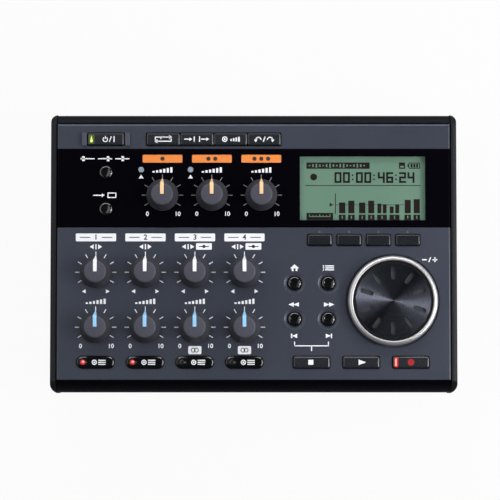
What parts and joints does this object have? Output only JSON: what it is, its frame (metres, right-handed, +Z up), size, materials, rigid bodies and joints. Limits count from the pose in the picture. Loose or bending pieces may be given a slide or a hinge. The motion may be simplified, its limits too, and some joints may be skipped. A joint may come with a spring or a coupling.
{
  "type": "digital multitrack recorder",
  "caption": "Pocket multitrack audio recorder: flat case with level and pan knobs, a data wheel, sprung keys, a display window, rear jack sockets and a battery bay.",
  "frame": {"origin": "on the table under the middle of the case", "axes": "+X to the right along the long side, +Y to the rear with the jacks, +Z up"},
  "size_m": [0.1544, 0.1066, 0.035],
  "materials": {
    "grey_paint": "satin paint with a fine metallic grain",
    "gloss_black": "polished black",
    "base_plastic": "fine moulded texture",
    "cheek_plastic": "satin moulded",
    "clear_lens": "clear polished pane",
    "display": "grey-green segment display",
    "circuit_board": "green solder resist",
    "control_body": "moulded",
    "lamp_lens": "frosted light pipe",
    "jack_plastic": "moulded",
    "steel": "plated",
    "cell_jacket": "printed sleeve",
    "foot_rubber": "matt",
    "silver_rim": "satin silver",
    "spun_black": "black, spun",
    "knob_plastic": "soft-touch",
    "window_key": "black",
    "key_plastic": "satin"
  },
  "bodies": {
    "case": {"bottom_case": "base_plastic", "top_case": "grey_paint", "front_panel": "gloss_black", "left_cheek": "cheek_plastic", "right_cheek": "cheek_plastic", "window_panel": "gloss_black", "lcd_lens": "clear_lens", "lcd_module": "display", "panel_board": "circuit_board", "rotary_pots": "control_body", "encoder_body": "control_body", "key_switches": "control_body", "overload_lamps": "lamp_lens", "jack_plate": "base_plastic", "rear_jacks": "jack_plastic", "usb_port": "steel", "sd_socket": "steel", "battery_contacts": "steel", "battery_cells": "cell_jacket", "microphones": "steel", "rubber_feet": "foot_rubber", "case_screws": "steel"},
    "data_wheel": {"data_wheel_rim": "silver_rim", "data_wheel_face": "spun_black"},
    "battery_door": {"battery_door": "base_plastic"},
    "sd_door": {"sd_door": "cheek_plastic"},
    "input_a_knob": {"input_a_knob": "knob_plastic"},
    "input_b_knob": {"input_b_knob": "knob_plastic"},
    "master_knob": {"master_knob": "knob_plastic"},
    "pan_knob_1": {"pan_knob_1": "knob_plastic"},
    "pan_knob_2": {"pan_knob_2": "knob_plastic"},
    "pan_knob_3": {"pan_knob_3": "knob_plastic"},
    "pan_knob_4": {"pan_knob_4": "knob_plastic"},
    "level_knob_1": {"level_knob_1": "knob_plastic"},
    "level_knob_2": {"level_knob_2": "knob_plastic"},
    "level_knob_3": {"level_knob_3": "knob_plastic"},
    "level_knob_4": {"level_knob_4": "knob_plastic"},
    "power_key": {"power_key": "key_plastic"},
    "function_key_1": {"function_key_1": "key_plastic"},
    "function_key_2": {"function_key_2": "key_plastic"},
    "function_key_3": {"function_key_3": "key_plastic"},
    "function_key_4": {"function_key_4": "key_plastic"},
    "input_setting_key": {"input_setting_key": "window_key"},
    "assign_key": {"assign_key": "window_key"},
    "soft_key_1": {"soft_key_1": "key_plastic"},
    "soft_key_2": {"soft_key_2": "key_plastic"},
    "soft_key_3": {"soft_key_3": "key_plastic"},
    "soft_key_4": {"soft_key_4": "key_plastic"},
    "home_key": {"home_key": "key_plastic"},
    "menu_key": {"menu_key": "key_plastic"},
    "rewind_key": {"rewind_key": "key_plastic"},
    "forward_key": {"forward_key": "key_plastic"},
    "stop_key": {"stop_key": "key_plastic"},
    "play_key": {"play_key": "key_plastic"},
    "record_key": {"record_key": "key_plastic"},
    "track_key_1": {"track_key_1": "key_plastic"},
    "track_key_2": {"track_key_2": "key_plastic"},
    "track_key_3": {"track_key_3": "key_plastic"},
    "track_key_4": {"track_key_4": "key_plastic"}
  },
  "joints": [
    {"name": "battery_door_slide", "type": "slide", "parent": "case", "child": "battery_door", "axis": [0, -1, 0], "range_m": [0, 0.035]},
    {"name": "sd_door_swing", "type": "hinge", "parent": "case", "child": "sd_door", "pos_m": [0.07625, 0.014, 0.01575], "axis": [0, 1, 0], "range_deg": [0, 95]},
    {"name": "data_wheel_turn", "type": "hinge", "parent": "case", "child": "data_wheel", "pos_m": [0.0528, -0.0184, 0.0285], "axis": [0, 0, -1], "continuous": true},
    {"name": "input_a_knob_turn", "type": "hinge", "parent": "case", "child": "input_a_knob", "pos_m": [-0.0347, 0.0218, 0.0285], "axis": [0, 0, -1], "range_deg": [-150, 150]},
    {"name": "input_b_knob_turn", "type": "hinge", "parent": "case", "child": "input_b_knob", "pos_m": [-0.0159, 0.0218, 0.0285], "axis": [0, 0, -1], "range_deg": [-150, 150]},
    {"name": "master_knob_turn", "type": "hinge", "parent": "case", "child": "master_knob", "pos_m": [0.0029, 0.0218, 0.0285], "axis": [0, 0, -1], "range_deg": [-150, 150]},
    {"name": "pan_knob_1_turn", "type": "hinge", "parent": "case", "child": "pan_knob_1", "pos_m": [-0.0599, -0.00755, 0.0285], "axis": [0, 0, -1], "range_deg": [-150, 150]},
    {"name": "pan_knob_2_turn", "type": "hinge", "parent": "case", "child": "pan_knob_2", "pos_m": [-0.0411, -0.00755, 0.0285], "axis": [0, 0, -1], "range_deg": [-150, 150]},
    {"name": "pan_knob_3_turn", "type": "hinge", "parent": "case", "child": "pan_knob_3", "pos_m": [-0.0223, -0.00755, 0.0285], "axis": [0, 0, -1], "range_deg": [-150, 150]},
    {"name": "pan_knob_4_turn", "type": "hinge", "parent": "case", "child": "pan_knob_4", "pos_m": [-0.0035, -0.00755, 0.0285], "axis": [0, 0, -1], "range_deg": [-150, 150]},
    {"name": "level_knob_1_turn", "type": "hinge", "parent": "case", "child": "level_knob_1", "pos_m": [-0.0599, -0.0284, 0.0285], "axis": [0, 0, -1], "range_deg": [-150, 150]},
    {"name": "level_knob_2_turn", "type": "hinge", "parent": "case", "child": "level_knob_2", "pos_m": [-0.0411, -0.0284, 0.0285], "axis": [0, 0, -1], "range_deg": [-150, 150]},
    {"name": "level_knob_3_turn", "type": "hinge", "parent": "case", "child": "level_knob_3", "pos_m": [-0.0223, -0.0284, 0.0285], "axis": [0, 0, -1], "range_deg": [-150, 150]},
    {"name": "level_knob_4_turn", "type": "hinge", "parent": "case", "child": "level_knob_4", "pos_m": [-0.0035, -0.0284, 0.0285], "axis": [0, 0, -1], "range_deg": [-150, 150]},
    {"name": "power_key_press", "type": "slide", "parent": "case", "child": "power_key", "axis": [0, 0, -1], "range_m": [0, 0.0005], "stiffness_N_per_m": 400, "springref_m": -0.001},
    {"name": "function_key_1_press", "type": "slide", "parent": "case", "child": "function_key_1", "axis": [0, 0, -1], "range_m": [0, 0.0005], "stiffness_N_per_m": 400, "springref_m": -0.001},
    {"name": "function_key_2_press", "type": "slide", "parent": "case", "child": "function_key_2", "axis": [0, 0, -1], "range_m": [0, 0.0005], "stiffness_N_per_m": 400, "springref_m": -0.001},
    {"name": "function_key_3_press", "type": "slide", "parent": "case", "child": "function_key_3", "axis": [0, 0, -1], "range_m": [0, 0.0005], "stiffness_N_per_m": 400, "springref_m": -0.001},
    {"name": "function_key_4_press", "type": "slide", "parent": "case", "child": "function_key_4", "axis": [0, 0, -1], "range_m": [0, 0.0005], "stiffness_N_per_m": 400, "springref_m": -0.001},
    {"name": "input_setting_key_press", "type": "slide", "parent": "case", "child": "input_setting_key", "axis": [0, 0, -1], "range_m": [0, 0.0005], "stiffness_N_per_m": 400, "springref_m": -0.001},
    {"name": "assign_key_press", "type": "slide", "parent": "case", "child": "assign_key", "axis": [0, 0, -1], "range_m": [0, 0.0005], "stiffness_N_per_m": 400, "springref_m": -0.001},
    {"name": "soft_key_1_press", "type": "slide", "parent": "case", "child": "soft_key_1", "axis": [0, 0, -1], "range_m": [0, 0.0005], "stiffness_N_per_m": 400, "springref_m": -0.001},
    {"name": "soft_key_2_press", "type": "slide", "parent": "case", "child": "soft_key_2", "axis": [0, 0, -1], "range_m": [0, 0.0005], "stiffness_N_per_m": 400, "springref_m": -0.001},
    {"name": "soft_key_3_press", "type": "slide", "parent": "case", "child": "soft_key_3", "axis": [0, 0, -1], "range_m": [0, 0.0005], "stiffness_N_per_m": 400, "springref_m": -0.001},
    {"name": "soft_key_4_press", "type": "slide", "parent": "case", "child": "soft_key_4", "axis": [0, 0, -1], "range_m": [0, 0.0005], "stiffness_N_per_m": 400, "springref_m": -0.001},
    {"name": "home_key_press", "type": "slide", "parent": "case", "child": "home_key", "axis": [0, 0, -1], "range_m": [0, 0.0005], "stiffness_N_per_m": 400, "springref_m": -0.001},
    {"name": "menu_key_press", "type": "slide", "parent": "case", "child": "menu_key", "axis": [0, 0, -1], "range_m": [0, 0.0005], "stiffness_N_per_m": 400, "springref_m": -0.001},
    {"name": "rewind_key_press", "type": "slide", "parent": "case", "child": "rewind_key", "axis": [0, 0, -1], "range_m": [0, 0.0005], "stiffness_N_per_m": 400, "springref_m": -0.001},
    {"name": "forward_key_press", "type": "slide", "parent": "case", "child": "forward_key", "axis": [0, 0, -1], "range_m": [0, 0.0005], "stiffness_N_per_m": 400, "springref_m": -0.001},
    {"name": "stop_key_press", "type": "slide", "parent": "case", "child": "stop_key", "axis": [0, 0, -1], "range_m": [0, 0.0005], "stiffness_N_per_m": 400, "springref_m": -0.001},
    {"name": "play_key_press", "type": "slide", "parent": "case", "child": "play_key", "axis": [0, 0, -1], "range_m": [0, 0.0005], "stiffness_N_per_m": 400, "springref_m": -0.001},
    {"name": "record_key_press", "type": "slide", "parent": "case", "child": "record_key", "axis": [0, 0, -1], "range_m": [0, 0.0005], "stiffness_N_per_m": 400, "springref_m": -0.001},
    {"name": "track_key_1_press", "type": "slide", "parent": "case", "child": "track_key_1", "axis": [0, 0, -1], "range_m": [0, 0.0005], "stiffness_N_per_m": 400, "springref_m": -0.001},
    {"name": "track_key_2_press", "type": "slide", "parent": "case", "child": "track_key_2", "axis": [0, 0, -1], "range_m": [0, 0.0005], "stiffness_N_per_m": 400, "springref_m": -0.001},
    {"name": "track_key_3_press", "type": "slide", "parent": "case", "child": "track_key_3", "axis": [0, 0, -1], "range_m": [0, 0.0005], "stiffness_N_per_m": 400, "springref_m": -0.001},
    {"name": "track_key_4_press", "type": "slide", "parent": "case", "child": "track_key_4", "axis": [0, 0, -1], "range_m": [0, 0.0005], "stiffness_N_per_m": 400, "springref_m": -0.001}
  ]
}
